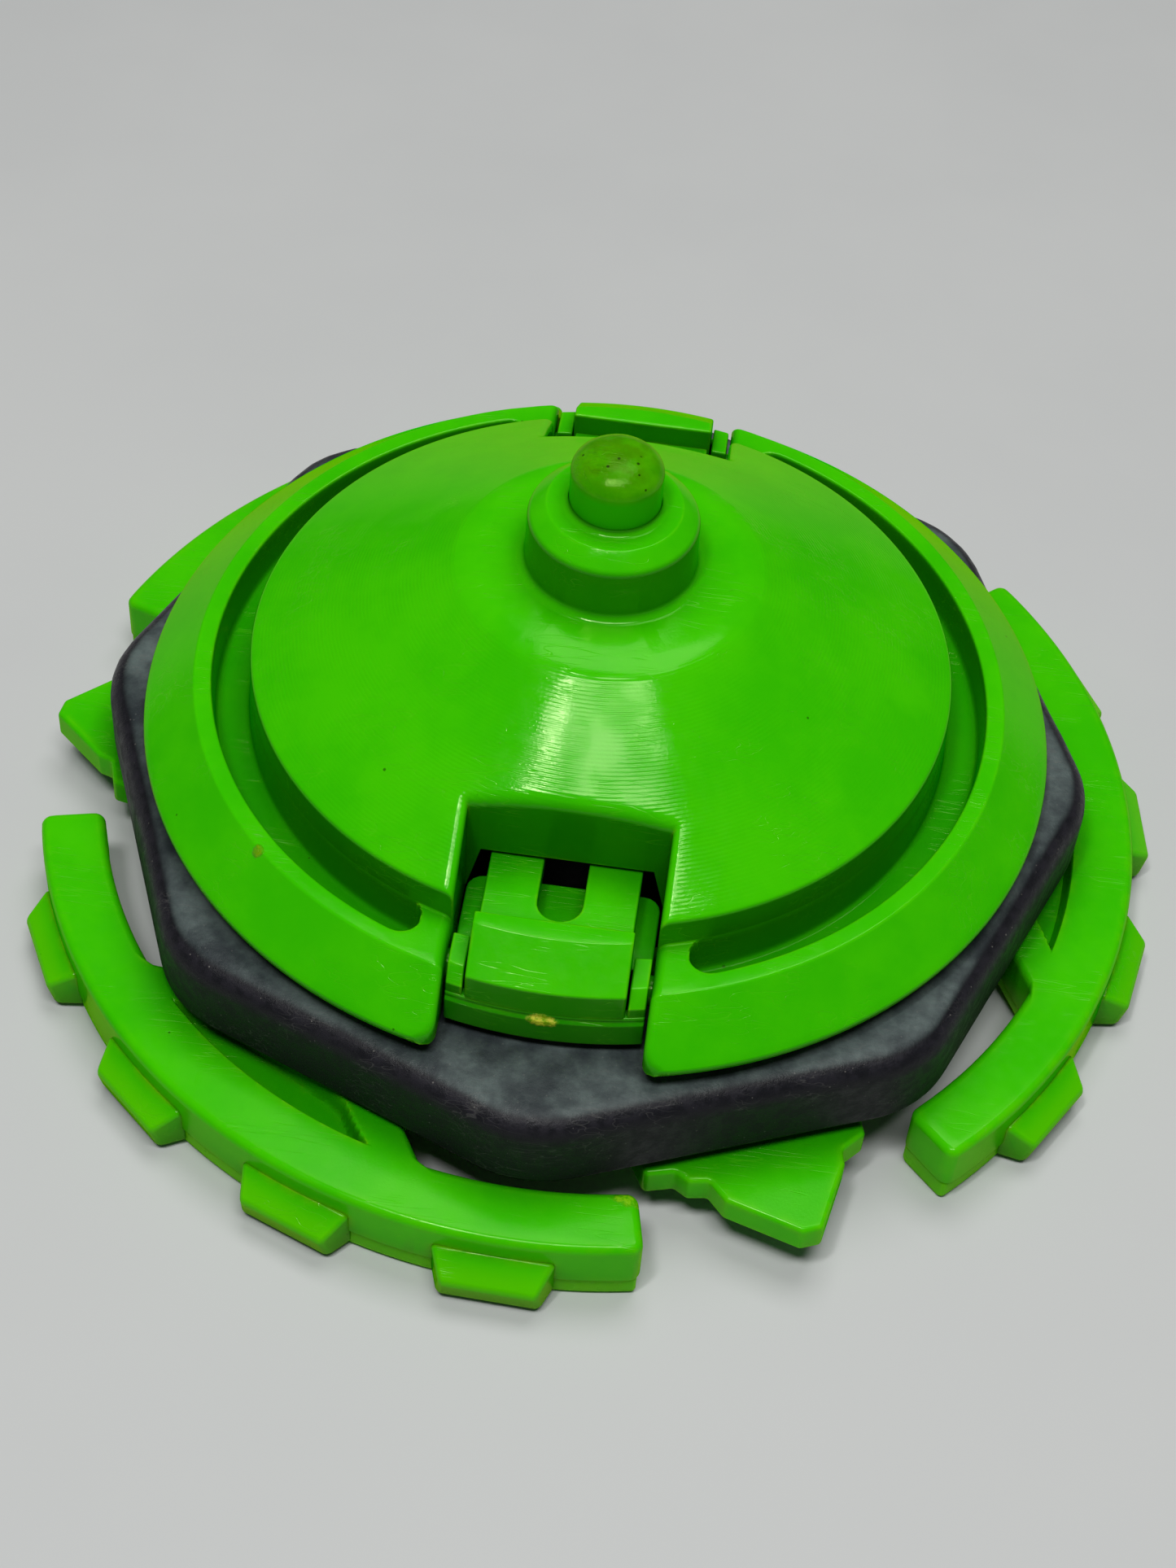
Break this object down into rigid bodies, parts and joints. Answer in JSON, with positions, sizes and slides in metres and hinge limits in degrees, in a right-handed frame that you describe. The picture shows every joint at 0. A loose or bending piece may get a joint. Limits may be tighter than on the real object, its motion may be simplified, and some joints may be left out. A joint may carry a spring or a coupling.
{
  "type": "light up spinning top",
  "caption": "Spinning top with a toothed outer ring, a metal weight disk, a conical base with two squeeze latches, a ball tip and a battery lamp core that lights as it spins.",
  "frame": {"origin": "on the spin axis, in the plane of the toothed ring's face that the top stands on", "axes": "+Z along the spin axis toward the ball tip, -Y toward the front latch"},
  "size_m": [0.0575, 0.0588, 0.0268],
  "materials": {
    "lime_plastic": "satin moulded lime green plastic",
    "clear_lime": "translucent lime green plastic",
    "weight_metal": "dark matte cast metal with rubbed edges",
    "tip_plastic": "worn translucent olive green plastic",
    "core_plastic": "charcoal moulded plastic",
    "lens_clear": "frosted clear plastic",
    "white_plastic": "white moulded plastic",
    "board": "green solder mask",
    "lamp_clear": "clear lamp resin",
    "steel": "plated steel",
    "brass": "spring brass sheet",
    "black_plastic": "black resin"
  },
  "bodies": {
    "top": {"attack_ring": "lime_plastic", "light_ring": "clear_lime", "weight_disk": "weight_metal", "base_shell": "lime_plastic", "spin_tip": "tip_plastic", "tip_retainer": "lime_plastic", "core_cup": "core_plastic", "core_lid": "core_plastic", "core_screws": "steel", "face_lens": "lens_clear", "lens_reflector": "white_plastic", "circuit_board": "board", "led_1": "lamp_clear", "led_2": "lamp_clear", "led_3": "lamp_clear", "cell_tray": "white_plastic", "button_cell_1": "steel", "button_cell_2": "steel", "button_cell_3": "steel", "lower_contacts": "brass", "upper_contacts": "brass", "switch_guide": "black_plastic", "switch_spring": "steel", "switch_contact": "brass", "driver_chip": "black_plastic", "resistors": "black_plastic"},
    "front_latch": {"front_latch": "lime_plastic"},
    "rear_latch": {"rear_latch": "lime_plastic"},
    "switch_weight": {"switch_weight": "steel"}
  },
  "joints": [
    {"name": "front_latch_press", "type": "hinge", "parent": "top", "child": "front_latch", "pos_m": [0, -0.0179, 0.0107], "axis": [-1, 0, 0], "range_deg": [0, 10], "stiffness_Nm_per_rad": 0.06},
    {"name": "rear_latch_press", "type": "hinge", "parent": "top", "child": "rear_latch", "pos_m": [0, 0.0179, 0.0107], "axis": [1, 0, 0], "range_deg": [0, 10], "stiffness_Nm_per_rad": 0.06},
    {"name": "switch_slide", "type": "slide", "parent": "top", "child": "switch_weight", "axis": [0, 1, 0], "range_m": [0, 0.0011], "stiffness_N_per_m": 2, "deforming": ["switch_spring"]}
  ]
}
